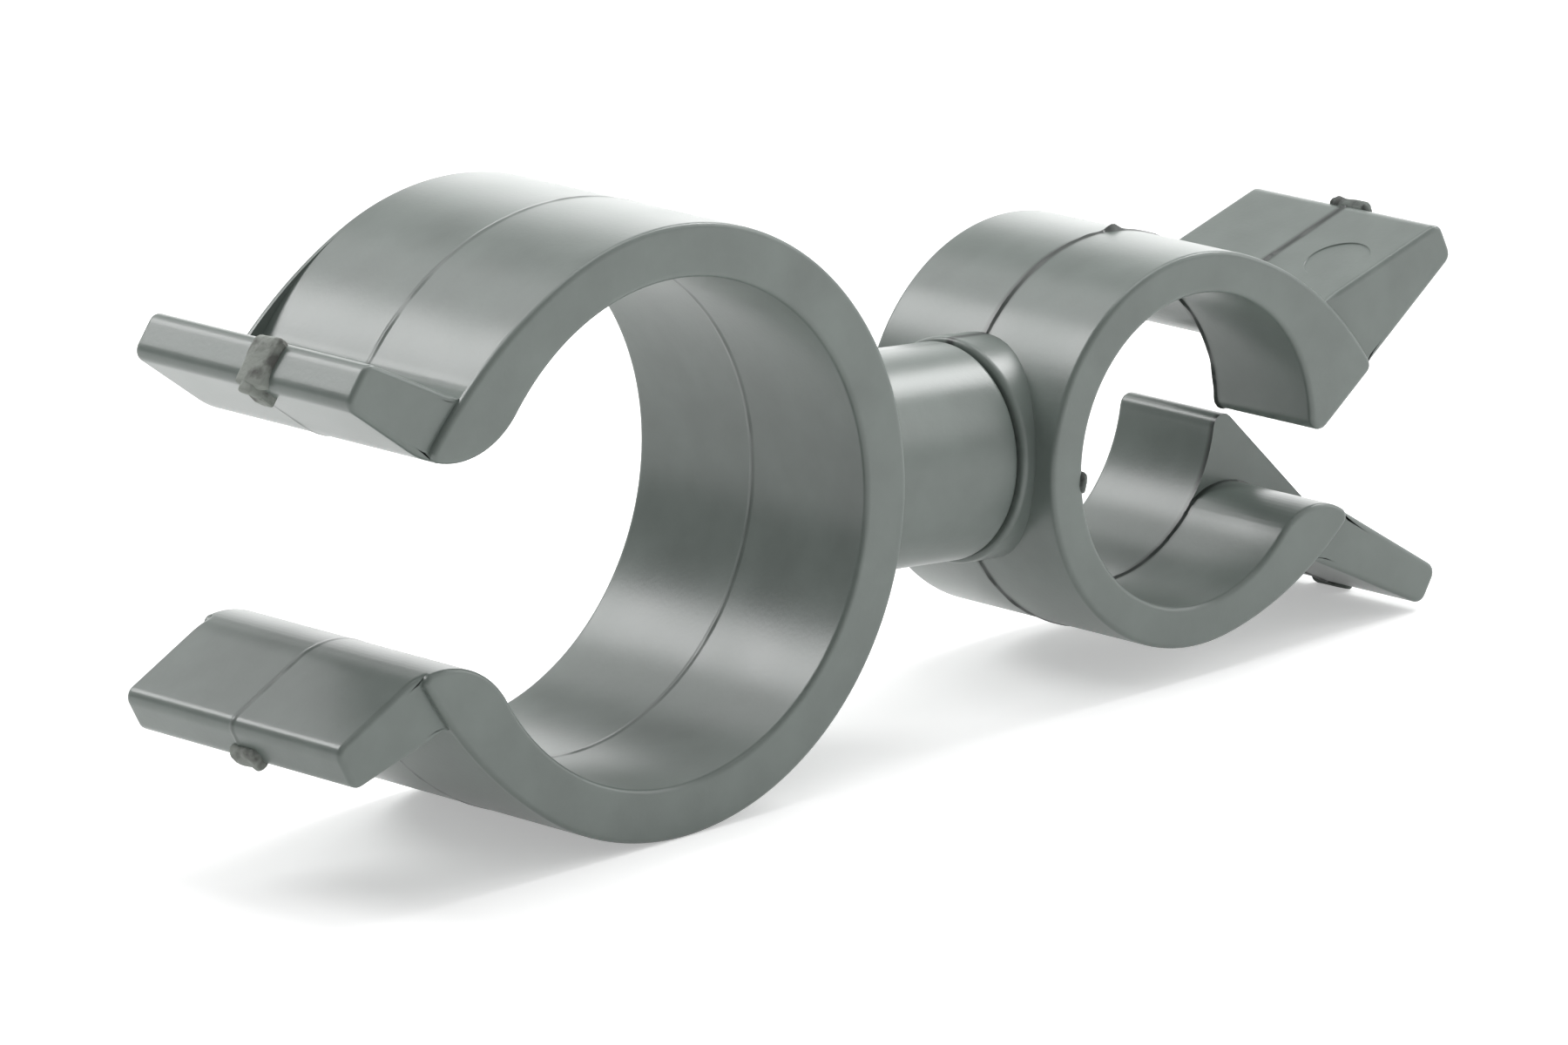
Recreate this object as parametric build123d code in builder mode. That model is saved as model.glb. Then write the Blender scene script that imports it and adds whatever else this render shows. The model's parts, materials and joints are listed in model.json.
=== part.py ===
"""Swivel tube clip: a large and a small spring clip that turn on each other about a snap pin."""

import os
from math import asin, atan2, cos, hypot, radians, sin, sqrt, tan

from build123d import *

# Sizes in millimetres, angles in degrees

# Tubes that the clips hold, and the rings round them
large_bore_radius = 12.5
large_wall = 2.65
large_width = 16.6
small_bore_radius = 8.0
small_wall = 2.1
small_width = 14.0
centre_distance = 36.4

# Jaws of the large clip
large_mouth_gap = 9.9
large_nose_radius = 4.6
large_wing_length = 4.95
large_lead_angle = 32.0
large_back_angle = 22.0
large_tip_thickness = 2.4
large_cheek_rise = 9.35
large_cheek_angle = 60.0

# Jaws of the small clip, whose long fingers pass each other
small_mouth_gap = 7.4
small_nose_radius = 3.4
small_wing_length = 8.5
small_lead_angle = 28.0
small_back_angle = 22.0
small_tip_thickness = 2.1
small_cheek_rise = 7.2
small_cheek_angle = 75.0
finger_tip_height = -0.7
finger_tip_radius = 0.7

# Details that both clips share
wing_inset = 0.4
wing_root_radius = 1.2
wing_tip_radius = 0.6
tab_width = 2.8
tab_height = 0.4

# Swivel between the clips
boss_radius = 5.5
boss_root_radius = 0.8
pad_radius = 5.7
pad_stand = 0.7
swivel_gap = 0.2
pin_radius = 3.0
pin_length = 8.4
pin_clearance = 0.1
pin_end_clearance = 0.5
pin_tip_chamfer = 0.6
bead_height = 0.4
bead_width = 1.6
bead_from_tip = 2.4
slot_width = 1.0
slot_length = 5.6

# How near a corner lies to its circle, and the turn from one half of the small clip to the other
corner_tolerance = 1e-4
half_turn = 180.0

# Sizes that follow from the ones above
large_outer_radius = large_bore_radius + large_wall
small_outer_radius = small_bore_radius + small_wall
pad_distance = centre_distance - small_outer_radius - pad_stand
boss_end = pad_distance - swivel_gap


def wing_corners(bore_radius, gap, nose_radius, length, lead_angle, back_angle, tip):
    """Corners of an upper wing: inner tip, outer tip, root of the back face, start of the lead-in.

    The wing leaves the nose along the lead-in, and both its roots lie inside the bore.
    """
    lead = radians(lead_angle)
    back = radians(back_angle)
    nose_y = gap / 2 + nose_radius
    nose_x = sqrt((bore_radius + nose_radius) ** 2 - nose_y**2)
    tip_in_x = nose_x + nose_radius * sin(lead) + length * cos(lead)
    tip_in_y = nose_y - nose_radius * cos(lead) + length * sin(lead)
    tip_out_x = tip_in_x - tip * sin(lead)
    tip_out_y = tip_in_y + tip * cos(lead)
    return [
        (tip_in_x, tip_in_y),
        (tip_out_x, tip_out_y),
        (0, tip_out_y - tip_out_x * tan(back)),
        (tip_in_x - tip_in_y / tan(lead), 0),
    ]


def tab_corners(wing, lead_angle):
    """Corners of the mould tab, which starts inside the wing and stands out of its end face."""
    step_x = tab_height * cos(radians(lead_angle))
    step_y = tab_height * sin(radians(lead_angle))
    (in_x, in_y), (out_x, out_y) = wing[0], wing[1]
    return [
        (in_x - step_x, in_y - step_y),
        (out_x - step_x, out_y - step_y),
        (out_x + step_x, out_y + step_y),
        (in_x + step_x, in_y + step_y),
    ]


def below(corners):
    """The same corners mirrored to the lower jaw."""
    return [(x, -y) for x, y in corners]


def at_radius(vertices, radius):
    """The vertices that lie on a circle about the bore."""
    return ShapeList(v for v in vertices if abs(hypot(v.X, v.Y) - radius) < corner_tolerance)


def cheek_centre(rise, angle):
    """Centre of the arc that leaves the ring's outside at an angle from the mouth."""
    return (-rise * cos(radians(angle)), -rise * sin(radians(angle)))


def pin_outline(clearance, start, end_clearance):
    """Half section of the snap pin, or of its socket when a clearance is given."""
    radius = pin_radius + clearance
    bead_radius = radius + bead_height
    tip = pad_distance - pin_length
    bead_near = tip + bead_from_tip + bead_width + clearance
    bead_far = tip + bead_from_tip - clearance
    bead_slope = bead_height
    return [
        (start, 0),
        (start, radius),
        (bead_near, radius),
        (bead_near - bead_slope, bead_radius),
        (bead_far + bead_slope, bead_radius),
        (bead_far, radius),
        (tip + pin_tip_chamfer - end_clearance, radius),
        (tip - end_clearance, radius - pin_tip_chamfer),
        (tip - end_clearance, 0),
    ]


large_wing = wing_corners(
    large_bore_radius,
    large_mouth_gap,
    large_nose_radius,
    large_wing_length,
    large_lead_angle,
    large_back_angle,
    large_tip_thickness,
)
large_tab = tab_corners(large_wing, large_lead_angle)
large_cheek = cheek_centre(large_cheek_rise, large_cheek_angle)
large_cheek_radius = large_outer_radius + large_cheek_rise

small_wing = wing_corners(
    small_bore_radius,
    small_mouth_gap,
    small_nose_radius,
    small_wing_length,
    small_lead_angle,
    small_back_angle,
    small_tip_thickness,
)
small_tab = tab_corners(small_wing, small_lead_angle)
small_cheek = cheek_centre(small_cheek_rise, small_cheek_angle)
small_cheek_radius = small_outer_radius + small_cheek_rise
finger_tip = (sqrt(small_bore_radius**2 - finger_tip_height**2), finger_tip_height)

# The clip lies on its large ring and on the small ring or its lower wing, whichever meets the floor first
foot_x = centre_distance + small_tab[2][0]
foot_y = small_tab[2][1]
lie_on_ring = asin((large_outer_radius - small_outer_radius) / centre_distance)
lie_on_wing = asin(large_outer_radius / hypot(foot_x, foot_y)) - atan2(foot_y, foot_x)
lie = min(lie_on_ring, lie_on_wing)
along = Vector(cos(lie), 0, -sin(lie))
swivel_axis = Axis((0, 0, 0), along)

# Each clip is drawn with its mouth along its plane's own X
large_plane = Plane(origin=(0, 0, 0), x_dir=-along, z_dir=(0, 1, 0))
small_plane = Plane(origin=along * centre_distance, x_dir=along, z_dir=(0, -1, 0))
axis_plane = Plane(origin=(0, 0, 0), x_dir=along, z_dir=(0, -1, 0))
boss_plane = Plane(origin=along * boss_end, x_dir=(0, 1, 0), z_dir=-along)
pad_plane = Plane(origin=along * pad_distance, x_dir=(0, 1, 0), z_dir=along)

# Large clip: a plain ring with flared wings, and the boss that takes the pin
with BuildSketch(large_plane) as large_profile:
    Circle(large_outer_radius)
    Polygon(*large_wing, align=None)
    Polygon(*below(large_wing), align=None)
    Polygon(large_wing[3], large_wing[0], below(large_wing)[0], align=None, mode=Mode.SUBTRACT)
    Circle(large_bore_radius, mode=Mode.SUBTRACT)
    fillet(at_radius(large_profile.vertices(), large_bore_radius), large_nose_radius)
    fillet(at_radius(large_profile.vertices(), large_outer_radius), wing_root_radius)
    fillet(large_profile.vertices().sort_by(Axis.X)[-4:], wing_tip_radius)

with BuildSketch(large_plane) as large_cheeks:
    add(large_profile.sketch_local)
    with Locations(large_cheek):
        Circle(large_cheek_radius, mode=Mode.INTERSECT)
    with Locations(below([large_cheek])[0]):
        Circle(large_cheek_radius, mode=Mode.INTERSECT)

with BuildSketch(large_plane) as large_tabs:
    Polygon(*large_tab, align=None)
    Polygon(*below(large_tab), align=None)

with BuildPart() as large_clip:
    extrude(to_extrude=large_profile.sketch, amount=large_width / 2 - wing_inset, both=True)
    extrude(to_extrude=large_cheeks.sketch, amount=large_width / 2, both=True)
    extrude(to_extrude=large_tabs.sketch, amount=tab_width / 2, both=True)
    with BuildSketch(boss_plane):
        Circle(boss_radius)
    extrude(amount=boss_end - large_bore_radius)
    boss_roots = edges(Select.NEW).filter_by(GeomType.CIRCLE, reverse=True)
    fillet(boss_roots, boss_root_radius)
    with BuildSketch(large_plane):
        Circle(large_bore_radius)
    extrude(amount=large_width, both=True, mode=Mode.SUBTRACT)
    with BuildSketch(axis_plane):
        Polygon(*pin_outline(pin_clearance, boss_end, pin_end_clearance), align=None)
    revolve(axis=swivel_axis, mode=Mode.SUBTRACT)

# Small clip: one half is drawn, and the other is the same half turned about the swivel
with BuildSketch(small_plane) as small_profile:
    Circle(small_outer_radius)
    Polygon(*small_wing, align=None)
    Polygon(*below(small_wing), align=None)
    Polygon(small_wing[3], small_wing[0], below(small_wing)[0], align=None, mode=Mode.SUBTRACT)
    Circle(small_bore_radius, mode=Mode.SUBTRACT)
    noses = at_radius(small_profile.vertices(), small_bore_radius).sort_by(Axis.Y)
    fillet(noses[0], small_nose_radius)
    Polygon(small_wing[0], small_wing[2], finger_tip, align=None)
    Circle(small_bore_radius, mode=Mode.SUBTRACT)
    noses = at_radius(small_profile.vertices(), small_bore_radius).sort_by(Axis.X)
    fillet(noses[-1], finger_tip_radius)
    fillet(at_radius(small_profile.vertices(), small_outer_radius), wing_root_radius)
    fillet(small_profile.vertices().sort_by(Axis.X)[-4:], wing_tip_radius)

with BuildSketch(small_plane) as small_cheeks:
    add(small_profile.sketch_local)
    with Locations(small_cheek):
        Circle(small_cheek_radius, mode=Mode.INTERSECT)
    with Locations(below([small_cheek])[0]):
        Circle(small_cheek_radius, mode=Mode.INTERSECT)

with BuildSketch(small_plane) as small_tabs:
    Polygon(*small_tab, align=None)
    Polygon(*below(small_tab), align=None)

with BuildPart() as small_half:
    extrude(to_extrude=small_profile.sketch, amount=small_width / 2 - wing_inset)
    extrude(to_extrude=small_cheeks.sketch, amount=small_width / 2)
    extrude(to_extrude=small_tabs.sketch, amount=tab_width / 2)

with BuildPart() as small_clip:
    add(small_half.part)
    add(small_half.part.rotate(swivel_axis, half_turn))
    with BuildSketch(pad_plane):
        Circle(pad_radius)
    extrude(amount=centre_distance - small_bore_radius - pad_distance)
    with BuildSketch(small_plane):
        Circle(small_bore_radius)
    extrude(amount=small_width, both=True, mode=Mode.SUBTRACT)
    with BuildSketch(axis_plane):
        Polygon(*pin_outline(0, pad_distance, 0), align=None)
    revolve(axis=swivel_axis)
    with BuildSketch(axis_plane):
        slot_start = pad_distance - pin_length
        Polygon(
            (slot_start, pin_radius + bead_height),
            (slot_start + slot_length, pin_radius + bead_height),
            (slot_start + slot_length, -pin_radius - bead_height),
            (slot_start, -pin_radius - bead_height),
            align=None,
        )
    extrude(amount=slot_width / 2, both=True, mode=Mode.SUBTRACT)

large_clip.part.label = "large_clip"
small_clip.part.label = "small_clip"

os.makedirs("parts", exist_ok=True)
export_step(large_clip.part, "parts/large_clip.step")
export_step(small_clip.part, "parts/small_clip.step")
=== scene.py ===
"""Looks of the swivel tube clip: two grey spring clips on a white table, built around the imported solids."""

import json
import logging
from dataclasses import dataclass, field, replace
from enum import Enum
from math import atan2, cos, hypot, pi, radians, sin, sqrt, tan

import bmesh
import bpy
import numpy as np
from mathutils import Matrix, Vector, noise


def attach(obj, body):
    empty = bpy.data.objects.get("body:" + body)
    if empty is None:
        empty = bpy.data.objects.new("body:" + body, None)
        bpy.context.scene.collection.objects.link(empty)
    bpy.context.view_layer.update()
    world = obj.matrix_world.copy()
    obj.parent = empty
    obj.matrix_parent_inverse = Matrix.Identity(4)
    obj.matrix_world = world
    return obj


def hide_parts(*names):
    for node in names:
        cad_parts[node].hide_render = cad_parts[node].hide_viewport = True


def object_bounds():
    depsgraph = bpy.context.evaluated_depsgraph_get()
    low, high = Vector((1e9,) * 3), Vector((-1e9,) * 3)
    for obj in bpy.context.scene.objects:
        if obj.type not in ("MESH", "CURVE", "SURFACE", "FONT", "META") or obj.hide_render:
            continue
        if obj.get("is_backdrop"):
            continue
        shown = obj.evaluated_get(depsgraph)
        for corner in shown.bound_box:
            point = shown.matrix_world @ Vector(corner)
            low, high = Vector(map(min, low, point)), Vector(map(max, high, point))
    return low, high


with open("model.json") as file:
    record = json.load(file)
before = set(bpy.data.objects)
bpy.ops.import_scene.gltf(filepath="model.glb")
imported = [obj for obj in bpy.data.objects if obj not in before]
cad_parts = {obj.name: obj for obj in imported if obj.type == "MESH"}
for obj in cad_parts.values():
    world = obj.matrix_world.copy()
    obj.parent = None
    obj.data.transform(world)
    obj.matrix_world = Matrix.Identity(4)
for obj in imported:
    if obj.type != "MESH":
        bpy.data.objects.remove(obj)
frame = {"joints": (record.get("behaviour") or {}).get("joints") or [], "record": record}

LOG = logging.getLogger("tube_clip")
PHOTO_WIDTH = 1800
WHITE = (1.0, 1.0, 1.0, 1.0)

# Metres in a millimetre: the clips are drawn in millimetres and brought to metres at the end
MM = 0.001

# Angle from which the edge between two faces shows as an edge
SMOOTH_ANGLE = radians(35.0)

# Lumps on torn plastic, and where the noise for each of its three axes starts
LUMPS_PER_MM = 1.7
NOISE_STARTS = (Vector((0.0, 0.0, 0.0)), Vector((31.4, 7.1, 12.9)), Vector((5.3, 47.7, 23.1)))

# Millimetres below which points count as one, edges as flat and steps of a path as too short
SAME_POINT = 1e-4
NEAR_POINT = 0.002
FLAT_EDGE = 0.001
SHORT_STEP = 0.02

# Slack against a circle in millimetres and against an angle in radians, and the turn from nose to bore
ON_CIRCLE = 1e-6
PAST_ANGLE = 1e-3
PAST_NOSE = 0.03

Path = list[np.ndarray]
Colour = tuple[float, float, float]
Sizes = tuple[float, float, float]
Axes = tuple[Vector, Vector, Vector]
Profile = list[tuple[float, float]]


class Stagger(Enum):
    """Length of a jaw's finger: a short one stops at the mouth, a long one passes the middle line."""

    SHORT = "short"
    LONG = "long"


class Cut(Enum):
    """How a boolean tool meets its base."""

    JOIN = "UNION"
    TAKE_OUT = "DIFFERENCE"


def point(x: float, y: float) -> np.ndarray:
    """Returns a point of a clip's own plane, in millimetres."""
    return np.array([x, y], float)


def heading(angle: float) -> np.ndarray:
    """Returns the unit vector at an angle in radians."""
    return point(cos(angle), sin(angle))


def outlook(azimuth: float, elevation: float) -> Vector:
    """Returns the unit vector to a viewpoint at two angles in radians."""
    return Vector((sin(azimuth) * cos(elevation), -cos(azimuth) * cos(elevation), sin(elevation)))


def quarter(steps: int) -> list[float]:
    """Returns the angles of a quarter turn in even steps, both ends included."""
    return [pi / 2 * i / steps for i in range(steps + 1)]


def tinted(colour: Colour, share: float = 1.0) -> tuple[float, float, float, float]:
    """Returns a share of a colour as an opaque one."""
    return (*(c * share for c in colour), 1.0)


def arc(centre: np.ndarray, radius: float, start: float, end: float, spacing: float) -> Path:
    """Samples a circular arc.

    Args:
        centre: Centre of the circle.
        radius: Its radius.
        start: First angle in radians.
        end: Last angle in radians.
        spacing: Largest distance between points.

    Returns:
        The points, both ends included.
    """
    count = max(2, int(abs(end - start) * radius / spacing) + 1)
    return [centre + radius * heading(a) for a in np.linspace(start, end, count + 1)]


def straight(start: np.ndarray, end: np.ndarray, spacing: float) -> Path:
    """Returns points of a straight run, both ends included."""
    count = max(1, int(np.linalg.norm(end - start) / spacing) + 1)
    return [start + (end - start) * t for t in np.linspace(0.0, 1.0, count + 1)]


def trimmed(path: Path, length: float) -> Path:
    """Cuts a length off the end of a path.

    Args:
        path: Points in order.
        length: How much to take off.

    Returns:
        The shortened path, which ends exactly at the cut.
    """
    kept = list(path)
    left = length
    while len(kept) > 2:
        step = float(np.linalg.norm(kept[-1] - kept[-2]))
        if step > left:
            break
        left -= step
        kept.pop()
    back = kept[-2] - kept[-1]
    kept[-1] = kept[-1] + back / np.linalg.norm(back) * left
    if np.linalg.norm(kept[-1] - kept[-2]) < SHORT_STEP:
        kept.pop(-2)
    return kept


def rounded(first: Path, second: Path, radius: float, spacing: float) -> tuple[Path, Path, Path]:
    """Rounds the corner where two paths meet.

    Args:
        first: Path that ends at the corner.
        second: Path that starts at the corner.
        radius: Radius of the rounding.
        spacing: Largest distance between points of the rounding.

    Returns:
        The shortened first path, the rounding and the shortened second path.
    """
    arriving = first[-1] - first[-2]
    leaving = second[1] - second[0]
    angle_in = atan2(arriving[1], arriving[0])
    turn = (atan2(leaving[1], leaving[0]) - angle_in + pi) % (2 * pi) - pi
    cut = radius * tan(abs(turn) / 2)
    head = trimmed(first, cut)
    tail = trimmed(second[::-1], cut)[::-1]
    side = pi / 2 if turn > 0 else -pi / 2
    centre = head[-1] + radius * heading(angle_in + side)
    bend = arc(centre, radius, angle_in - side, angle_in - side + turn, spacing)
    # On curved paths the bend can miss the second one a little, and the miss is spread over it
    miss = tail[0] - bend[-1]
    bend = [p + miss * i / (len(bend) - 1) for i, p in enumerate(bend)]
    return head, bend, tail


def joined(first: Path, second: Path, radius: float, spacing: float) -> Path:
    """Returns two paths that meet at a corner as one path with that corner rounded."""
    head, bend, tail = rounded(first, second, radius, spacing)
    return head[:-1] + bend + tail[1:]


def resampled(path: Path, count: int) -> np.ndarray:
    """Spaces points evenly along a path.

    Args:
        path: Points in order.
        count: How many points are wanted.

    Returns:
        The points, both ends included.
    """
    points = np.array(path)
    steps = np.linalg.norm(np.diff(points, axis=0), axis=1)
    along = np.concatenate([[0.0], np.cumsum(steps)])
    places = np.linspace(0.0, along[-1], count)
    return np.stack([np.interp(places, along, points[:, k]) for k in (0, 1)], 1)


def outward(loop: np.ndarray) -> np.ndarray:
    """Works out which way is outward along a closed loop.

    Args:
        loop: Points in order, either way round.

    Returns:
        One unit normal for each point.
    """
    step = np.roll(loop, -1, 0) - np.roll(loop, 1, 0)
    normals = np.stack([step[:, 1], -step[:, 0]], 1)
    normals /= np.linalg.norm(normals, axis=1, keepdims=True)
    following = np.roll(loop, -1, 0)
    area = np.sum(loop[:, 0] * following[:, 1] - following[:, 0] * loop[:, 1])
    return normals if area > 0 else -normals


@dataclass(frozen=True)
class Jaw:
    """Upper jaw of a clip in the clip's own plane: x runs to the mouth, y away from its middle line."""

    bore: float
    wall: float
    lead_in: float
    end_angle: float
    back: float
    tip: tuple[float, float]
    tip_thickness: float
    nose_radius: float
    cheek_angle: float
    cheek_rise: float
    split: float
    tip_radius: float = 0.6
    root_radius: float = 1.2
    cheek_corner: float = 0.5
    spacing: float = 0.3

    @property
    def outside(self) -> float:
        """Returns the ring's outer radius."""
        return self.bore + self.wall

    @property
    def outer_tip(self) -> np.ndarray:
        """Returns the corner of the wing's end on its back face."""
        return point(*self.tip) + self.tip_thickness * heading(self.end_angle + pi / 2)

    def edge(self, radius: float, bend: float, slope: float, tip: np.ndarray, spacing: float) -> Path:
        """Draws an arc about the bore that bends into a straight face.

        Args:
            radius: Radius of the arc.
            bend: Radius of the bend.
            slope: Angle of the face in radians.
            tip: Where the face ends.
            spacing: Largest distance between points of the bend.

        Returns:
            The path from the back of the arc to the tip.
        """
        across = heading(slope + pi / 2)
        off = float(tip @ across) + bend
        reach = sqrt((radius + bend) ** 2 - off**2)
        centre = heading(slope) * reach + across * off
        angle = atan2(centre[1], centre[0])
        ring = arc(point(0, 0), radius, pi, angle, self.spacing)
        turn = arc(centre, bend, angle - pi, slope - pi / 2, spacing)
        return ring[:-1] + turn[:-1] + straight(turn[-1], tip, self.spacing)

    def inner_edge(self) -> Path:
        """Returns the path from the back of the bore over the nose to the inner tip."""
        return self.edge(self.bore, self.nose_radius, self.lead_in, point(*self.tip), self.spacing)

    def outer_edge(self) -> Path:
        """Returns the path from the back of the ring over the wing's root to the outer tip."""
        return self.edge(self.outside, self.root_radius, self.back, self.outer_tip, self.spacing / 2)

    def runs(self) -> tuple["Outline", "Outline"]:
        """Divides the jaw's two outlines into matching runs.

        Both start at the back of the ring and end at the back of the bore. One goes round the wing, and the
        other follows the arc of the cheek instead.

        Returns:
            The outline with the wing and the one with the cheek.
        """
        fine = self.spacing / 3
        angle = self.cheek_angle
        centre = -self.cheek_rise * heading(angle)
        radius = self.outside + self.cheek_rise
        origin = point(0, 0)

        def crossing(edge: Path) -> tuple[np.ndarray, Path, Path]:
            """Finds where an edge leaves the cheek's circle.

            Args:
                edge: Points in order, the first ones inside.

            Returns:
                The crossing, the edge up to it and the edge from it.
            """
            away = [float(np.linalg.norm(p - centre)) for p in edge]
            last = max(i for i, d in enumerate(away) if d < radius - ON_CIRCLE)
            step = edge[last + 1] - edge[last]
            share = (radius - away[last]) / (away[last + 1] - away[last])
            found = edge[last] + step * share
            return found, edge[: last + 1] + [found], [found] + edge[last + 1 :]

        outer = self.outer_edge()
        start = next(i for i, p in enumerate(outer) if atan2(p[1], p[0]) < angle - PAST_ANGLE)
        leave = self.outside * heading(angle)
        meet, root, wing = crossing([leave] + outer[start:])
        corner, inside, beyond = crossing(self.inner_edge())
        from_angle = atan2(meet[1] - centre[1], meet[0] - centre[0])
        to_angle = atan2(corner[1] - centre[1], corner[0] - centre[0])
        ring = arc(origin, self.outside, pi, angle, self.spacing)
        cheek_root = arc(centre, radius, angle, from_angle, self.spacing)
        cheek = arc(centre, radius, from_angle, to_angle, self.spacing)
        head, bend, tail = rounded(cheek, inside[::-1], self.cheek_corner, fine)
        end = straight(wing[-1], beyond[-1], self.spacing)
        round_tip = joined(joined(wing, end, self.tip_radius, fine), beyond[::-1], self.tip_radius, fine)
        split = next(i for i, p in enumerate(tail) if hypot(*p) < self.bore + ON_CIRCLE and self.past(p))
        nose = tail[:split] + [self.bore * heading(self.split)]
        bore = arc(origin, self.bore, self.split, pi, self.spacing)
        with_wing = Outline((ring, root, round_tip + [bend[-1]], nose, bore))
        with_cheek = Outline((ring, cheek_root, head[:-1] + bend, nose, bore))
        return with_wing, with_cheek

    def past(self, place: np.ndarray) -> bool:
        """Returns whether a point of the bore lies beyond the angle at which its run starts."""
        return atan2(place[1], place[0]) > self.split


@dataclass(frozen=True)
class Outline:
    """Outline of a jaw in five runs: ring, root, end, nose and bore."""

    runs: tuple[Path, ...]
    counts: tuple[int, ...] = (80, 26, 84, 72, 72)
    fade: int = 4

    def points(self) -> np.ndarray:
        """Returns the outline's points, as many for every jaw."""
        found = [resampled(run, count)[:-1] for run, count in zip(self.runs, self.counts)]
        return np.concatenate(found + [np.array([self.runs[-1][-1]])])

    def end_weights(self) -> np.ndarray:
        """Weighs the points of the jaw's end.

        Returns:
            1 for points of the end, which fades to 0 where the end starts and stops, and 0 for the others.
        """
        steps = [count - 1 for count in self.counts]
        before = sum(steps[:2])
        place = np.arange(steps[2])
        weights = np.zeros(sum(steps) + 1)
        rise = np.minimum(place, steps[2] - place) / self.fade
        weights[before : before + steps[2]] = np.clip(rise, 0.0, 1.0)
        return weights


@dataclass(frozen=True)
class Seat:
    """Where a clip's own plane lies in the frame."""

    origin: Vector
    mouth: Vector
    up: Vector
    across: Vector = field(default_factory=lambda: Vector((0.0, 1.0, 0.0)))

    def place(self, x: float, y: float, across: float) -> Vector:
        """Returns the point of the frame for a point of the clip's plane, both in millimetres."""
        return self.origin + self.mouth * x + self.up * y + self.across * across

    def axes(self, angle: float, sign: float) -> Axes:
        """Works out the axes of a block that is turned in the clip's plane.

        Args:
            angle: Turn in radians.
            sign: 1 for the upper jaw, -1 to mirror the block to the lower one.

        Returns:
            The three unit axes, the last of which runs across the clip.
        """
        turned = (heading(angle), heading(angle + pi / 2))
        first, second = (self.mouth * v[0] + self.up * (v[1] * sign) for v in turned)
        return first, second, self.across


@dataclass(frozen=True)
class Flash:
    """Thin uneven ridge of plastic that the mould's parting line leaves, with nubs of (x, y, height)."""

    height: float = 0.0
    unevenness: float = 0.0
    seed: float = 0.0
    nubs: tuple[Sizes, ...] = ()
    nub_size: float = 0.45
    grain: float = 0.9

    def heights(self, loop: np.ndarray) -> np.ndarray:
        """Works out the ridge's height along a loop.

        Args:
            loop: Points in the clip's plane.

        Returns:
            One height for each point, in millimetres.
        """
        found = []
        for x, y in loop:
            rough = noise.noise(Vector((x * self.grain, y * self.grain, self.seed)))
            height = max(0.0, self.height + self.unevenness * rough)
            for nub_x, nub_y, nub_height in self.nubs:
                near = hypot(x - nub_x, y - nub_y)
                height += nub_height * np.exp(-((near / self.nub_size) ** 2))
            found.append(height)
        return np.array(found)


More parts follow.
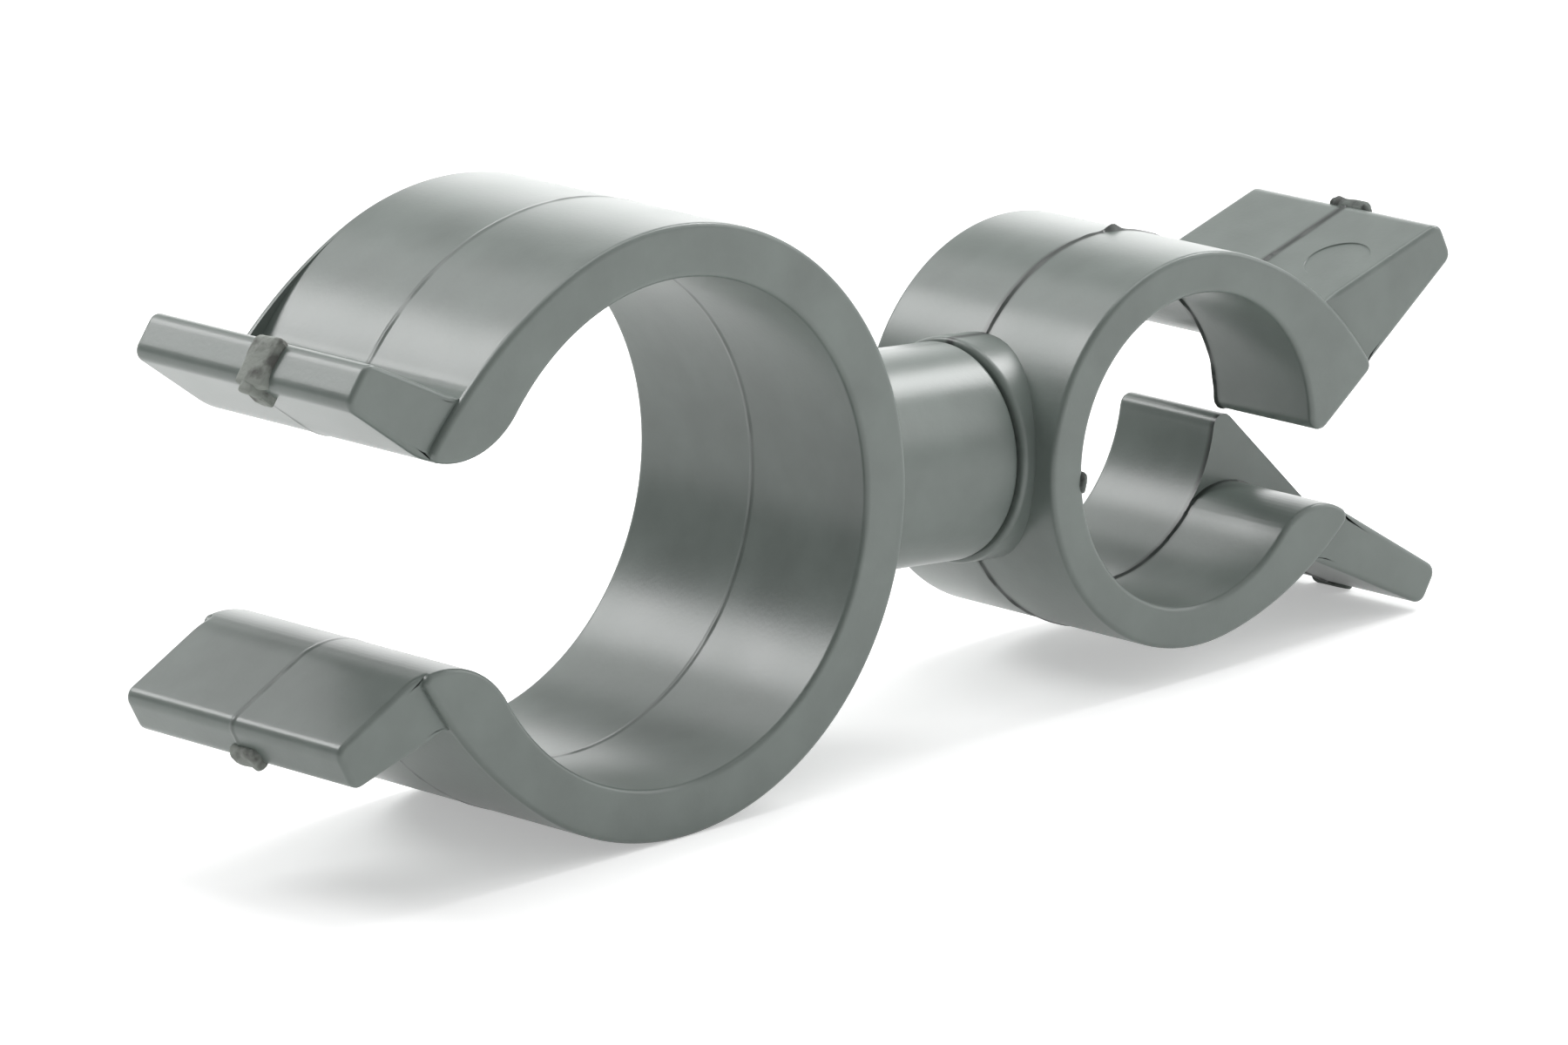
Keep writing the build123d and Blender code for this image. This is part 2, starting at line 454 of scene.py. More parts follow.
class Builder:
    """Mesh building shared by both clips."""

    @staticmethod
    def as_object(mesh_bm: bmesh.types.BMesh, name: str) -> bpy.types.Object:
        """Turns a bmesh into an object of the scene with its normals outward.

        Args:
            mesh_bm: The bmesh, which is freed.
            name: Name of the new object.

        Returns:
            The object.
        """
        bmesh.ops.recalc_face_normals(mesh_bm, faces=mesh_bm.faces)
        mesh = bpy.data.meshes.new(name)
        mesh_bm.to_mesh(mesh)
        mesh_bm.free()
        made = bpy.data.objects.new(name, mesh)
        bpy.context.scene.collection.objects.link(made)
        return made

    @staticmethod
    def skin(rings: list[list[Vector]], name: str) -> bpy.types.Object:
        """Builds a closed shell over rings of equally many points.

        Args:
            rings: Closed loops in order, the first and the last of which are capped.
            name: Name of the new object.

        Returns:
            The object.
        """
        bm = bmesh.new()
        loops = [[bm.verts.new(p) for p in ring] for ring in rings]
        for lower, upper in zip(loops, loops[1:]):
            for i, vertex in enumerate(lower):
                j = (i + 1) % len(lower)
                bm.faces.new((vertex, lower[j], upper[j], upper[i]))
        caps = [bm.faces.new(loops[0][::-1]), bm.faces.new(loops[-1])]
        bm.normal_update()
        bmesh.ops.triangulate(bm, faces=caps)
        bmesh.ops.remove_doubles(bm, verts=bm.verts, dist=SAME_POINT)
        return Builder.as_object(bm, name)

    @staticmethod
    def turned(profile: Profile, seat: Seat, name: str, segments: int = 96) -> bpy.types.Object:
        """Turns a profile of (distance along the axis, radius) about a seat's mouth direction.

        Args:
            profile: Points from one capped end to the other.
            seat: Seat whose mouth direction is the axis.
            name: Name of the new object.
            segments: Steps of the full turn.

        Returns:
            The object.
        """
        turns = [2 * pi * i / segments for i in range(segments)]
        rings = [[seat.place(x, r * sin(a), r * cos(a)) for a in turns] for x, r in profile]
        return Builder.skin(rings, name)

    @staticmethod
    def rounded_box(
        centre: Vector, axes: Axes, half: Sizes, radius: float, rough: float, name: str
    ) -> bpy.types.Object:
        """Builds a small block with rounded, slightly rough faces.

        Args:
            centre: Its middle, in millimetres.
            axes: Its three unit axes.
            half: Half sizes along the axes, in millimetres.
            radius: Rounding of the edges, in millimetres.
            rough: How far the faces wander, in millimetres.
            name: Name of the new object.

        Returns:
            The object.
        """
        bm = bmesh.new()
        bmesh.ops.create_cube(bm, size=2.0)
        for vertex in bm.verts:
            vertex.co = Vector(c * h for c, h in zip(vertex.co, half))
        bmesh.ops.bevel(
            bm, geom=bm.edges[:], offset=radius, segments=3, profile=0.5, affect="EDGES"
        )
        bmesh.ops.subdivide_edges(bm, edges=bm.edges[:], cuts=2, use_grid_fill=True)
        for vertex in bm.verts:
            spot = vertex.co * LUMPS_PER_MM + centre
            local = vertex.co + Vector([noise.noise(spot + start) for start in NOISE_STARTS]) * rough
            vertex.co = centre + sum((a * c for a, c in zip(axes, local)), Vector())
        return Builder.as_object(bm, name)

    @staticmethod
    def merge(base: bpy.types.Object, tools: list[bpy.types.Object], cut: Cut) -> None:
        """Joins tools to a base object, or takes them out of it, and removes the tools.

        Args:
            base: Object that is changed.
            tools: Closed objects.
            cut: Whether they are joined or taken out.
        """
        for tool in tools:
            step = base.modifiers.new(tool.name, "BOOLEAN")
            step.operation = cut.value
            step.solver = "EXACT"
            step.material_mode = "TRANSFER"
            step.object = tool
            bpy.context.view_layer.update()
            shaped = base.evaluated_get(bpy.context.evaluated_depsgraph_get())
            mesh = bpy.data.meshes.new_from_object(shaped)
            base.modifiers.clear()
            old = base.data
            base.data = mesh
            bpy.data.meshes.remove(old)
            bpy.data.objects.remove(tool)

    @staticmethod
    def smooth(piece: bpy.types.Object) -> None:
        """Cleans a mesh, brings it to metres and shades it smooth, apart from its real edges.

        Args:
            piece: Object in millimetres, which is changed.
        """
        bm = bmesh.new()
        bm.from_mesh(piece.data)
        bmesh.ops.remove_doubles(bm, verts=bm.verts, dist=NEAR_POINT)
        bmesh.ops.dissolve_degenerate(bm, edges=bm.edges, dist=FLAT_EDGE)
        bmesh.ops.triangulate(bm, faces=[f for f in bm.faces if len(f.verts) > 4])
        bmesh.ops.scale(bm, vec=(MM, MM, MM), verts=bm.verts)
        bm.to_mesh(piece.data)
        bm.free()
        piece.data.shade_smooth()
        piece.data.set_sharp_from_angle(angle=SMOOTH_ANGLE)


@dataclass
class Layers:
    """Loops of a clip from one side to the other, which one skin covers."""

    seat: Seat
    edge: float
    hold: float = 0.08
    steps: int = 5
    spacing: float = 1.3
    rings: list[list[Vector]] = field(default_factory=list)

    def add(self, across: float, loop: np.ndarray, inset: "float | np.ndarray" = 0.0) -> None:
        """Adds a loop.

        Args:
            across: Where it lies across the clip, in millimetres.
            loop: Its points in the clip's plane.
            inset: How far it is set in, for all points or for each.
        """
        depth = np.broadcast_to(np.asarray(inset, float), (len(loop),))[:, None]
        moved = loop - outward(loop) * depth
        self.rings.append([self.seat.place(x, y, across) for x, y in moved])

    def rounding(
        self, face: float, loop: np.ndarray, weights: np.ndarray, base: float, inwards: bool
    ) -> None:
        """Adds the loops of a rounded side edge.

        Args:
            face: Where the flat side lies, positive or negative.
            loop: Outline of the side.
            weights: How much of the rounding each point takes.
            base: How far the whole outline is set in.
            inwards: Whether the loops run from the side inwards, and not back out to it.
        """
        sign = 1.0 if face > 0 else -1.0
        made = [(face, self.edge + self.hold)]
        for a in quarter(self.steps):
            made.append((face - sign * self.edge * (1 - cos(a)), self.edge * (1 - sin(a))))
        made.append((face - sign * (self.edge + self.hold), 0.0))
        for across, inset in made if inwards else made[::-1]:
            self.add(across, loop, base + inset * weights)

    def between(self, start: float, end: float, loop: np.ndarray, base: float) -> None:
        """Adds evenly spaced loops between two places, neither included.

        Args:
            start: First place across the clip, in millimetres.
            end: Last place.
            loop: Points in the clip's plane.
            base: How far the loops are set in.
        """
        count = max(1, int(abs(end - start) / self.spacing))
        for across in np.linspace(start, end, count + 2)[1:-1]:
            self.add(across, loop, base)

    def skin(self, name: str) -> bpy.types.Object:
        """Returns the object that the loops make."""
        return Builder.skin(self.rings, name)


@dataclass(frozen=True)
class Graph:
    """Nodes of a material or of the world, with short ways to add and link them."""

    tree: bpy.types.NodeTree

    @property
    def shader(self) -> bpy.types.Node:
        """Returns the material's own shader."""
        return self.tree.nodes["Principled BSDF"]

    def add(self, kind: str, values: "dict[str | int, object]", **settings: object) -> bpy.types.Node:
        """Adds a node.

        Args:
            kind: Its type.
            values: Constants of its inputs.
            **settings: Its own settings.

        Returns:
            The node.
        """
        node = self.tree.nodes.new("ShaderNode" + kind)
        for name, setting in settings.items():
            setattr(node, name, setting)
        for socket, value in values.items():
            node.inputs[socket].default_value = value
        return node

    def link(self, source: bpy.types.Node, output: str, node: bpy.types.Node, socket: "str | int") -> None:
        """Leads an output of a node to an input of another."""
        self.tree.links.new(source.outputs[output], node.inputs[socket])

    def speckle(self, place: bpy.types.Node, size: float, detail: float) -> bpy.types.Node:
        """Adds noise that stays on the object.

        Args:
            place: Node with the object's coordinates.
            size: Size of the spots in millimetres.
            detail: Levels of detail.

        Returns:
            The noise node.
        """
        spots = self.add("TexNoise", {"Scale": 1 / (size * MM), "Detail": detail})
        self.link(place, "Object", spots, "Vector")
        return spots

    def ranged(
        self, source: bpy.types.Node, output: str, seen: tuple[float, float], given: tuple[float, float],
        **settings: object,
    ) -> bpy.types.Node:
        """Adds a node that maps one range of values to another.

        Args:
            source: Node that gives the value.
            output: Its output.
            seen: Ends of the value's range.
            given: What these ends become.
            **settings: Settings of the new node.

        Returns:
            The new node.
        """
        values = {"From Min": seen[0], "From Max": seen[1], "To Min": given[0], "To Max": given[1]}
        node = self.add("MapRange", values, **settings)
        self.link(source, output, node, "Value")
        return node

    def combined(
        self, first: tuple[bpy.types.Node, str], second: tuple[bpy.types.Node, str], operation: str
    ) -> bpy.types.Node:
        """Adds a calculation with two outputs.

        Args:
            first: Node and output.
            second: Node and output.
            operation: What is calculated.

        Returns:
            The new node.
        """
        node = self.add("Math", {}, operation=operation)
        self.link(*first, node, 0)
        self.link(*second, node, 1)
        return node

    def off_middle(self, place: bpy.types.Node, output: str) -> bpy.types.Node:
        """Adds the size of a vector's part across the clip.

        Args:
            place: Node with the object's coordinates.
            output: Which of its vectors is meant.

        Returns:
            The node with the size.
        """
        split = self.add("SeparateXYZ", {})
        self.link(place, output, split, "Vector")
        size = self.add("Math", {}, operation="ABSOLUTE")
        self.link(split, "Y", size, 0)
        return size

    def roughen(self, grain: bpy.types.Node, strength: float, depth: float) -> None:
        """Lets noise roughen the material's surface.

        Args:
            grain: Noise node.
            strength: Strength of the bumps.
            depth: Their depth in millimetres.
        """
        bump = self.add("Bump", {"Strength": strength, "Distance": depth * MM})
        self.link(grain, "Fac", bump, "Height")
        self.link(bump, "Normal", self.shader, "Normal")


def new_material(name: str) -> tuple[bpy.types.Material, Graph]:
    """Makes a plain material.

    Args:
        name: Its name.

    Returns:
        The material and its nodes.
    """
    made = bpy.data.materials.new(name)
    made.use_nodes = True
    return made, Graph(made.node_tree)


@dataclass(frozen=True)
class Plastic:
    """Dull grey moulded plastic with a faint green cast."""

    name: str = "grey_plastic"
    colour: Colour = (0.15, 0.176, 0.162)
    shade: float = 0.78
    ior: float = 1.5
    roughness: float = 0.31
    gloss_swing: float = 0.05
    mottle_size: float = 3.0
    mottle_detail: float = 4.0
    grain_size: float = 0.22
    grain_detail: float = 3.0
    grain_strength: float = 0.35
    grain_depth: float = 0.012
    # Width, strength and colour of the band of painted shade and dirt in the parting line's step
    line_width: float = 0.2
    line_strength: float = 0.3
    line_painted_shade: float = 0.18
    side_facing: tuple[float, float] = (0.9, 0.99)

    def build(self) -> bpy.types.Material:
        """Builds the material, whose parting line lies at the clip's middle plane with a band of painted
        shade and some dirt.

        Returns:
            The material.
        """
        made, graph = new_material(self.name)
        shader = graph.shader
        shader.inputs["IOR"].default_value = self.ior
        place = graph.add("TexCoord", {})
        mottle = graph.speckle(place, self.mottle_size, self.mottle_detail)
        tones = {"A": tinted(self.colour, self.shade), "B": tinted(self.colour, 2 - self.shade)}
        tone = graph.add("Mix", tones, data_type="RGBA")
        graph.link(mottle, "Fac", tone, "Factor")

        # Painted shade, with some dirt, along the parting line's step; left out on faces in the middle plane
        width = self.line_width
        away = graph.off_middle(place, "Object")
        line = graph.ranged(away, "Value", (width / 3 * MM, width * MM), (self.line_strength, 0.0))
        sideways = graph.off_middle(place, "Normal")
        clear = graph.ranged(sideways, "Value", self.side_facing, (1.0, 0.0))
        seam_shade_mask = graph.combined((line, "Result"), (clear, "Result"), "MULTIPLY")
        seam_painted_shade = graph.add("Mix", {"B": tinted(self.colour, self.line_painted_shade)}, data_type="RGBA")
        graph.link(seam_shade_mask, "Value", seam_painted_shade, "Factor")
        graph.link(tone, "Result", seam_painted_shade, "A")
        graph.link(seam_painted_shade, "Result", shader, "Base Color")

        swing = (self.roughness - self.gloss_swing, self.roughness + self.gloss_swing)
        gloss = graph.ranged(mottle, "Fac", (0.0, 1.0), swing)
        graph.link(gloss, "Result", shader, "Roughness")
        grain = graph.speckle(place, self.grain_size, self.grain_detail)
        graph.roughen(grain, self.grain_strength, self.grain_depth)
        return made


@dataclass(frozen=True)
class Scar:
    """Rough plastic where the mould's runner was torn off, in dark and pale blotches; the dark ones are
    partly painted shade.
    """

    name: str = "torn_plastic"
    # Dark blotches: torn plastic, and partly painted shade on the sides of the tabs and the burr
    dark_torn_and_shade: Colour = (0.035, 0.038, 0.034)
    pale: Colour = (0.135, 0.155, 0.142)
    roughness: float = 0.7
    blotch_size: float = 1.1
    blotch_detail: float = 3.0
    blotch_range: tuple[float, float] = (0.36, 0.52)
    grain_size: float = 0.35
    grain_detail: float = 4.0
    grain_strength: float = 0.8
    grain_depth: float = 0.1

    def build(self) -> bpy.types.Material:
        """Builds the material.

        Returns:
            The material.
        """
        made, graph = new_material(self.name)
        shader = graph.shader
        shader.inputs["Roughness"].default_value = self.roughness
        place = graph.add("TexCoord", {})
        blotch = graph.speckle(place, self.blotch_size, self.blotch_detail)
        share = graph.ranged(blotch, "Fac", self.blotch_range, (0.0, 1.0))
        tone = graph.add("Mix", {"A": tinted(self.dark_torn_and_shade), "B": tinted(self.pale)}, data_type="RGBA")
        graph.link(share, "Result", tone, "Factor")
        graph.link(tone, "Result", shader, "Base Color")
        grain = graph.speckle(place, self.grain_size, self.grain_detail)
        graph.roughen(grain, self.grain_strength, self.grain_depth)
        return made


@dataclass(frozen=True)
class Table:
    """White table top that shows as white and keeps the clip's shadow."""

    name: str = "white_table"
    half_size: float = 1.6
    segments: int = 8
    albedo: float = 0.93
    roughness: float = 0.9
    lift: float = 0.38

    def build(self, height: float) -> bpy.types.Object:
        """Builds the table top.

        Args:
            height: Where it lies, in metres.

        Returns:
            The object.
        """
        bm = bmesh.new()
        bmesh.ops.create_grid(bm, x_segments=self.segments, y_segments=self.segments, size=self.half_size)
        bmesh.ops.translate(bm, verts=bm.verts, vec=Vector((0.0, 0.0, height)))
        top = Builder.as_object(bm, self.name)
        made, graph = new_material(self.name)
        shader = graph.shader
        shader.inputs["Base Color"].default_value = (self.albedo, self.albedo, self.albedo, 1.0)
        shader.inputs["Roughness"].default_value = self.roughness
        shader.inputs["Specular IOR Level"].default_value = 0.0
        rays = graph.add("LightPath", {})
        seen = graph.combined((rays, "Is Camera Ray"), (rays, "Is Glossy Ray"), "MAXIMUM")
        lift = graph.add("Math", {1: self.lift}, operation="MULTIPLY")
        graph.link(seen, "Value", lift, 0)
        shader.inputs["Emission Color"].default_value = WHITE
        graph.link(lift, "Value", shader, "Emission Strength")
        top.data.materials.append(made)
        top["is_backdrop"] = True
        return top


@dataclass(frozen=True)
class Lamp:
    """Soft box: where it stands from the clip's middle, its size and its power."""

    name: str
    azimuth: float
    elevation: float
    distance: float
    size: float
    power: float

    def build(self, target: Vector) -> bpy.types.Object:
        """Builds the lamp.

        Args:
            target: Point that it faces, in metres.

        Returns:
            The object.
        """
        light = bpy.data.lights.new(self.name, "AREA")
        light.shape = "DISK"
        light.size = self.size
        light.energy = self.power
        made = bpy.data.objects.new(self.name, light)
        bpy.context.scene.collection.objects.link(made)
        away = outlook(radians(self.azimuth), radians(self.elevation))
        made.location = target + away * self.distance
        made.rotation_euler = away.to_track_quat("Z", "Y").to_euler()
        return made


@dataclass(frozen=True)
class Studio:
    """Table, white surroundings, lamps and the camera of the photograph."""

    ambient: float = 0.88
    reflected: float = 1.0
    zenith: float = 0.6
    zenith_range: tuple[float, float] = (0.38, 0.62)
    left: float = 0.2
    left_range: tuple[float, float] = (-0.9, 0.0)
    table: Table = Table()
    lamps: tuple[Lamp, ...] = (
        Lamp("left_lamp", -158.0, 38.0, 0.8, 0.3, 2.2),
        Lamp("right_lamp", 95.0, 42.0, 0.8, 0.3, 2.4),
        Lamp("top_lamp", 120.0, 75.0, 0.8, 0.6, 2.1),
        Lamp("rear_lamp", 176.0, 48.0, 0.8, 0.25, 0.45),
        Lamp("back_lamp", 138.0, 8.0, 0.9, 0.6, 1.4),
        Lamp("front_lamp", 65.0, 22.0, 0.9, 0.5, 1.3),
    )
    azimuth: float = -42.058
    elevation: float = 15.089
    roll: float = -2.008
    focal_px: float = 14239.5
    distance: float = 611.5
    target: Sizes = (14.467, 0.0, -3.865)
    sensor: float = 36.0
    nearest: float = 0.01

    def light(self) -> None:
        """Makes the surroundings, which show as white and light the clip softly."""
        world = bpy.data.worlds.new("white_room")
        bpy.context.scene.world = world
        world.use_nodes = True
        graph = Graph(world.node_tree)
        soft = world.node_tree.nodes["Background"]
        rays = graph.add("LightPath", {})
        level = graph.ranged(rays, "Is Glossy Ray", (0.0, 1.0), (self.ambient, self.reflected))
        graph.link(level, "Result", soft, "Strength")

        # Dimmer overhead and to the left, as the faces of the clip show
        place = graph.add("TexCoord", {})
        split = graph.add("SeparateXYZ", {})
        graph.link(place, "Generated", split, "Vector")
        curve = "SMOOTHSTEP"
        fade = graph.ranged(
            split, "Z", self.zenith_range, (1.0, self.zenith), interpolation_type=curve
        )
        dim = graph.ranged(split, "X", self.left_range, (self.left, 1.0), interpolation_type=curve)
        both = graph.combined((fade, "Result"), (dim, "Result"), "MULTIPLY")
        graph.link(both, "Value", soft, "Color")

        plain = graph.add("Background", {"Color": WHITE, "Strength": 1.0})
        through = graph.combined((rays, "Is Camera Ray"), (rays, "Is Transmission Ray"), "MAXIMUM")
        mix = graph.add("MixShader", {})
        graph.link(through, "Value", mix, "Fac")
        graph.link(soft, "Background", mix, 1)
        graph.link(plain, "Background", mix, 2)
        graph.link(mix, "Shader", world.node_tree.nodes["World Output"], "Surface")

    def camera(self) -> bpy.types.Object:
        """Builds the camera at the photograph's viewing angle.

        Returns:
            The object.
        """
        az, roll = radians(self.azimuth), radians(self.roll)
        back = outlook(az, radians(self.elevation))
        level = Vector((cos(az), sin(az), 0.0))
        upright = back.cross(level)
        right = level * cos(roll) + upright * sin(roll)
        up = upright * cos(roll) - level * sin(roll)
        lens = bpy.data.cameras.new("photo_camera")
        lens.sensor_width = self.sensor
        lens.lens = self.focal_px / PHOTO_WIDTH * self.sensor
        lens.clip_start = self.nearest
        made = bpy.data.objects.new("photo_camera", lens)
        bpy.context.scene.collection.objects.link(made)
        stand = Matrix.Translation((Vector(self.target) + back * self.distance) * MM)
        made.matrix_world = stand @ Matrix((right, up, back)).transposed().to_4x4()
        bpy.context.scene.camera = made
        return made

    def build(self, floor: float) -> None:
        """Sets up everything around the clip.

        Args:
            floor: Height of the table top, in metres.
        """
        self.light()
        self.table.build(floor)
        for lamp in self.lamps:
            lamp.build(Vector(self.target) * MM)
        self.camera()
        bpy.context.scene.view_settings.view_transform = "Standard"


@dataclass(frozen=True)
class Swivel:
    """Boss, pad and snap pin between the clips, in millimetres along the line through both."""

    boss_radius: float = 5.5
    boss_root: float = 0.8
    root_sink: float = 0.012
    root_steps: int = 8
    pad_radius: float = 5.7
    pad_at: float = 25.6
    gap: float = 0.2
    edge: float = 0.25
    edge_hold: float = 0.1
    edge_steps: int = 4
    segments: int = 144
    pin_radius: float = 3.0
    pin_length: float = 8.4
    pin_root: float = 0.5
    clearance: float = 0.1
    end_clearance: float = 0.5
    tip_chamfer: float = 0.6
    bead: float = 0.4
    bead_width: float = 1.6
    bead_from_tip: float = 2.4
    slot_width: float = 1.0
    slot_length: float = 5.6
    slot_edge: float = 0.05
    overshoot: float = 1.0

    @property
    def boss_end(self) -> float:
        """Returns where the boss ends."""
        return self.pad_at - self.gap

    def pin_profile(self, clearance: float, start: float, end: float) -> Profile:
        """Draws the half section of the pin, or of its socket.

        Args:
            clearance: Added to the radius and to both sides of the bead.
            start: Where the profile starts on the axis.
            end: Room left beyond the pin's tip.

        Returns:
            Points of (distance along the axis, radius).
        """
        radius = self.pin_radius + clearance
        tip = self.pad_at - self.pin_length
        near = tip + self.bead_from_tip + self.bead_width + clearance
        far = tip + self.bead_from_tip - clearance
        return [
            (start, radius),
            (near, radius),
            (near - self.bead, radius + self.bead),
            (far + self.bead, radius + self.bead),
            (far, radius),
            (tip + self.tip_chamfer - end, radius),
            (tip - end, radius - self.tip_chamfer),
        ]

    def boss(self, seat: Seat, outside: float, inside: float) -> bpy.types.Object:
        """Builds the boss, whose root flares onto the ring.

        Args:
            seat: Seat whose mouth direction points to the small clip.
            outside: Outer radius of the large ring.
            inside: Where the boss starts within the ring's wall.

        Returns:
            The object.
        """
        turns = [2 * pi * i / self.segments for i in range(self.segments)]
        wide = self.boss_radius + self.boss_root

        def ring(radius: float, rise: float) -> list[Vector]:
            """Draws a loop that follows the ring's outside.

            Args:
                radius: Its distance from the axis.
                rise: How far it stands off the ring.

            Returns:
                The points.
            """
            found = []
            for a in turns:
                lift = radius * sin(a)
                x = sqrt(outside**2 - lift**2) + rise - self.root_sink
                found.append(seat.place(x, lift, radius * cos(a)))
            return found

        def flat(x: float, radius: float) -> list[Vector]:
            """Returns a circle square to the axis."""
            return [seat.place(x, radius * sin(a), radius * cos(a)) for a in turns]

        rings = [flat(inside, wide)]
        for a in quarter(self.root_steps):
            rings.append(ring(wide - self.boss_root * sin(a), self.boss_root * (1 - cos(a))))
        end = self.boss_end
        rings.append(flat(end - self.edge - self.edge_hold, self.boss_radius))
        for a in quarter(self.edge_steps):
            x = end - self.edge * (1 - sin(a))
            rings.append(flat(x, self.boss_radius - self.edge * (1 - cos(a))))
        rings.append(flat(end, self.boss_radius - self.edge - self.edge_hold))
        return Builder.skin(rings, "boss")

    def socket(self, seat: Seat) -> bpy.types.Object:
        """Returns the hollow in the boss, as a tool to take out."""
        start = self.boss_end + self.overshoot
        return Builder.turned(self.pin_profile(self.clearance, start, self.end_clearance), seat, "socket")

    def pad(self, seat: Seat, inside: float) -> bpy.types.Object:
        """Builds the pad.

        Args:
            seat: Seat on the line through both clips.
            inside: Where it starts within the small ring's wall.

        Returns:
            The object.
        """
        side = self.pad_at + self.edge + self.edge_hold
        profile = [(inside, self.pad_radius), (side, self.pad_radius)]
        for a in quarter(self.edge_steps):
            radius = self.pad_radius - self.edge * (1 - cos(a))
            profile.append((self.pad_at + self.edge * (1 - sin(a)), radius))
        profile.append((self.pad_at, self.pad_radius - self.edge - self.edge_hold))
        return Builder.turned(profile, seat, "pad", self.segments)

    def pin(self, seat: Seat) -> bpy.types.Object:
        """Builds the pin with its bead and its slot.

        Args:
            seat: Seat on the line through both clips.

        Returns:
            The object.
        """
        profile = self.pin_profile(0.0, self.pad_at + self.pin_root, 0.0)
        made = Builder.turned(profile, seat, "pin")
        tip = self.pad_at - self.pin_length
        over = self.overshoot
        middle = seat.place(tip + (self.slot_length - over) / 2, 0.0, 0.0)
        half = ((self.slot_length + over) / 2, self.pin_radius + over, self.slot_width / 2)
        axes = (seat.mouth, seat.up, seat.across)
        slot = Builder.rounded_box(middle, axes, half, self.slot_edge, 0.0, "pin_slot")
        Builder.merge(made, [slot], Cut.TAKE_OUT)
        return made


@dataclass(frozen=True)
class Clip:
    """What both clips share: width, set-back wings, side edges and the marks that the mould leaves.

    Pairs of tab sizes are for the upper and the lower wing. A tab's span is its share of the wing's end, from
    the inner edge on. The ridge gives places across the clip and the share of the flash's height there.
    """

    seat: Seat
    width: float
    bore: float
    wing_inset: float = 0.4
    side_edge: float = 0.25
    tab_width: float = 2.6
    tab_height: float = 0.4
    tab_edge: float = 0.3
    tab_past: float = 0.12
    tab_shift: tuple[float, float] = (0.0, 0.0)
    tab_spans: tuple[tuple[float, float], ...] = ((0.0, 1.0), (0.0, 1.0))
    torn_depth: float = 0.12
    flash: Flash = Flash()
    ridge: tuple[tuple[float, float], ...] = ()

    def closed(self, upper: Outline, lower: Outline) -> tuple[np.ndarray, np.ndarray]:
        """Joins two jaws to a clip's loop.

        Args:
            upper: Outline of the upper jaw.
            lower: Outline of the lower jaw, drawn as an upper one.

        Returns:
            The loop and the weights of its wings.
        """
        down = lower.points()[::-1] * (1.0, -1.0)
        loop = np.concatenate([upper.points()[:-1], down[:-1]])
        weights = np.concatenate([upper.end_weights()[:-1], lower.end_weights()[::-1][:-1]])
        return loop, weights

    def side(
        self, layers: Layers, jaws: tuple[Jaw, Jaw], sign: float, base: float, middle: float
    ) -> np.ndarray:
        """Adds one half of the clip, from its side to near the middle plane or back.

        Args:
            layers: Where the loops go.
            jaws: Upper and lower jaw of the half.
            sign: -1 for the near half, which starts at its side, and 1 for the far one, which ends there.
            base: How far the half is set in as a whole.
            middle: Where its run near the middle plane stops.

        Returns:
            The half's loop with its wings.
        """
        upper, lower = (jaw.runs() for jaw in jaws)
        wings, weights = self.closed(upper[0], lower[0])
        cheeks, _ = self.closed(upper[1], lower[1])
        face = sign * self.width / 2
        step = sign * (self.width / 2 - self.wing_inset)
        full = np.ones(len(cheeks))
        inner = step - sign * (layers.edge + layers.hold)
        if sign < 0:
            layers.rounding(face, cheeks, full, base, True)
            layers.add(step, cheeks, base)
            layers.rounding(step, wings, weights, base, True)
            layers.between(inner, middle, wings, base)
        else:
            layers.between(middle, inner, wings, base)
            layers.rounding(step, wings, weights, base, False)
            layers.add(step, cheeks, base)
            layers.rounding(face, cheeks, full, base, False)
        return wings

    def parting(self, layers: Layers, loop: np.ndarray) -> None:
        """Adds the ridge of flash at the middle plane.

        Args:
            layers: Where the loops go.
            loop: The clip's loop there.
        """
        heights = self.flash.heights(loop)
        for across, share in self.ridge:
            layers.add(across, loop, -heights * share)

    def torn(
        self, place: Vector, axes: Axes, half: Sizes, edge: float, scar: bpy.types.Material, name: str
    ) -> bpy.types.Object:
        """Builds a lump of torn plastic.

        Args:
            place: Its middle, in millimetres.
            axes: Its three unit axes.
            half: Half sizes along the axes, in millimetres.
            edge: Rounding of its edges, in millimetres.
            scar: Its material.
            name: Name of the new object.

        Returns:
            The object.
        """
        made = Builder.rounded_box(place, axes, half, edge, self.torn_depth, name)
        made.data.materials.append(scar)
        return made

    def tab(self, jaw: Jaw, sign: float, scar: bpy.types.Material) -> bpy.types.Object:
        """Builds the rough mark that the mould's runner leaves in the middle of a wing's end.

        Args:
            jaw: Jaw whose wing carries it.
            sign: 1 for the upper wing, -1 for the lower one.
            scar: Material of the torn plastic.

        Returns:
            The object.
        """
        which = 0 if sign > 0 else 1
        low, high = (share * jaw.tip_thickness for share in self.tab_spans[which])
        middle = point(*jaw.tip) + heading(jaw.lead_in + pi / 2) * (low + high) / 2
        half = (self.tab_height, (high - low) / 2 + self.tab_past, self.tab_width / 2)
        place = self.seat.place(middle[0], middle[1] * sign, self.tab_shift[which])
        return self.torn(place, self.seat.axes(jaw.lead_in, sign), half, self.tab_edge, scar, "tab")


